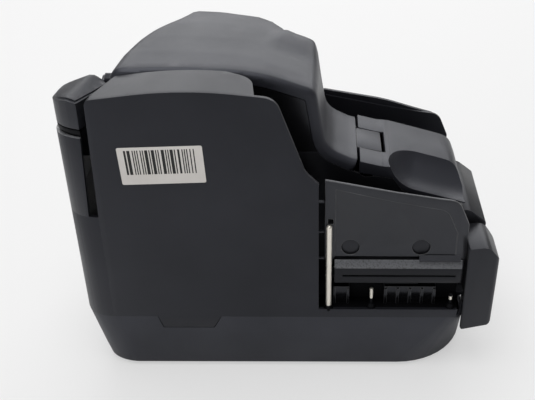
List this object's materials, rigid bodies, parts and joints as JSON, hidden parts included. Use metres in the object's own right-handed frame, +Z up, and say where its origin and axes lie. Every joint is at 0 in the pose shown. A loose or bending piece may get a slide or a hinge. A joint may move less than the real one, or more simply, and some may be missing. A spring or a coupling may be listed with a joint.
{
  "type": "receipt printer with document scanner",
  "caption": "Desktop receipt printer with a hinged paper-roll hump, front print cover and an upright U-shaped document scanning track",
  "frame": {"origin": "on the ground under the middle of the case's length and width", "axes": "+X front (receipt outlet), +Y far side, +Z up"},
  "size_m": [0.282, 0.1352, 0.2165],
  "materials": {
    "case_plastic": "fine-textured charcoal ABS",
    "inner_plastic": "smooth black inner mouldings",
    "dark_plastic": "dark grey moulded plastic",
    "steel": "turned steel",
    "sheet_metal": "galvanised sheet",
    "rubber": "black rubber",
    "board": "circuit board",
    "paper": "thermal paper",
    "card": "cardboard core",
    "ceramic": "thermal head on its carrier",
    "gear_plastic": "acetal",
    "brass": "brass pinion",
    "label": "white label",
    "lens": "tinted lens",
    "button": "grey key"
  },
  "bodies": {
    "case": {"base_tray": "case_plastic", "feet": "rubber", "port_panel": "inner_plastic", "power_inlet": "dark_plastic", "data_port": "sheet_metal", "chassis_plate": "sheet_metal", "circuit_board": "board", "tray_screws": "steel", "track_floor": "inner_plastic", "track_inner_guide": "inner_plastic", "track_outer_guide": "inner_plastic", "feed_motors": "sheet_metal", "pinch_pins": "steel", "outer_scan_head": "dark_plastic", "inner_scan_head": "dark_plastic", "near_side_cover": "case_plastic", "far_side_cover": "case_plastic", "far_bay_cover": "case_plastic", "rear_turn_cover": "case_plastic", "rear_cap": "case_plastic", "near_bay_frame": "inner_plastic", "near_pocket_wall": "case_plastic", "far_pocket_wall": "case_plastic", "pocket_discs": "dark_plastic", "guide_rod": "steel", "cover_studs": "steel", "rib_block": "inner_plastic", "stop_block": "inner_plastic", "ledge_flap": "dark_plastic", "end_stop": "dark_plastic", "central_frame": "inner_plastic", "roll_housing": "inner_plastic", "roll_cover_pin": "steel", "front_cover_pins": "steel", "receipt_bezel": "dark_plastic", "tear_bar": "steel", "button_spring": "steel", "button_board": "board", "status_lens": "lens", "paper_bin": "inner_plastic", "print_frame": "sheet_metal", "print_motor": "sheet_metal", "asset_label": "label"},
    "roll_lid": {"roll_cover": "case_plastic", "cover_catch": "case_plastic"},
    "front_lid": {"front_cover": "case_plastic", "thermal_head": "ceramic", "head_springs": "steel"},
    "paper": {"paper_roll": "paper", "roll_core": "card"},
    "platen": {"platen_roller": "rubber", "platen_gear": "gear_plastic"},
    "idler": {"idler_gear": "gear_plastic"},
    "pinion": {"motor_pinion": "brass"},
    "near_drive": {"near_feed_roller": "rubber"},
    "far_drive": {"far_feed_roller": "rubber"},
    "near_idle": {"near_pinch_roller": "rubber"},
    "far_idle": {"far_pinch_roller": "rubber"},
    "key": {"feed_button": "button"},
    "switch": {"power_switch": "dark_plastic"}
  },
  "joints": [
    {"name": "roll_cover_hinge", "type": "hinge", "parent": "case", "child": "roll_lid", "pos_m": [-0.1094, 0, 0.1987], "axis": [0, -1, 0], "range_deg": [0, 70]},
    {"name": "front_cover_hinge", "type": "hinge", "parent": "case", "child": "front_lid", "pos_m": [0.0532, 0, 0.1446], "axis": [0, -1, 0], "range_deg": [0, 75]},
    {"name": "paper_turn", "type": "hinge", "parent": "case", "child": "paper", "pos_m": [-0.041, 0, 0.1547], "axis": [0, 1, 0], "continuous": true},
    {"name": "platen_turn", "type": "hinge", "parent": "case", "child": "platen", "pos_m": [0.098, 0, 0.104], "axis": [0, 1, 0], "continuous": true},
    {"name": "idler_turn", "type": "hinge", "parent": "case", "child": "idler", "pos_m": [0.08579, 0, 0.08944], "axis": [0, 1, 0], "continuous": true},
    {"name": "pinion_turn", "type": "hinge", "parent": "case", "child": "pinion", "pos_m": [0.07829, 0, 0.07645], "axis": [0, 1, 0], "continuous": true},
    {"name": "near_drive_turn", "type": "hinge", "parent": "case", "child": "near_drive", "pos_m": [0, -0.04225, 0.085], "axis": [0, 0, 1], "continuous": true},
    {"name": "far_drive_turn", "type": "hinge", "parent": "case", "child": "far_drive", "pos_m": [0, 0.04225, 0.085], "axis": [0, 0, 1], "continuous": true},
    {"name": "near_idle_turn", "type": "hinge", "parent": "case", "child": "near_idle", "pos_m": [0, -0.05515, 0.085], "axis": [0, 0, 1], "continuous": true},
    {"name": "far_idle_turn", "type": "hinge", "parent": "case", "child": "far_idle", "pos_m": [0, 0.05515, 0.085], "axis": [0, 0, 1], "continuous": true},
    {"name": "feed_key", "type": "slide", "parent": "case", "child": "key", "axis": [-1, 0, 0], "range_m": [0, 0.0015], "stiffness_N_per_m": 400, "springref_m": -0.001, "deforming": ["button_spring"]},
    {"name": "power_rocker", "type": "hinge", "parent": "case", "child": "switch", "pos_m": [-0.124, 0.0185, 0.024], "axis": [0, 1, 0], "range_deg": [-18, 0]}
  ],
  "couplings": [
    {"joint": "idler_turn", "follows": "platen_turn", "ratio": -0.9},
    {"joint": "pinion_turn", "follows": "platen_turn", "ratio": 1.8},
    {"joint": "far_drive_turn", "follows": "near_drive_turn", "ratio": 1},
    {"joint": "near_idle_turn", "follows": "near_drive_turn", "ratio": -1.52},
    {"joint": "far_idle_turn", "follows": "near_drive_turn", "ratio": -1.52}
  ]
}
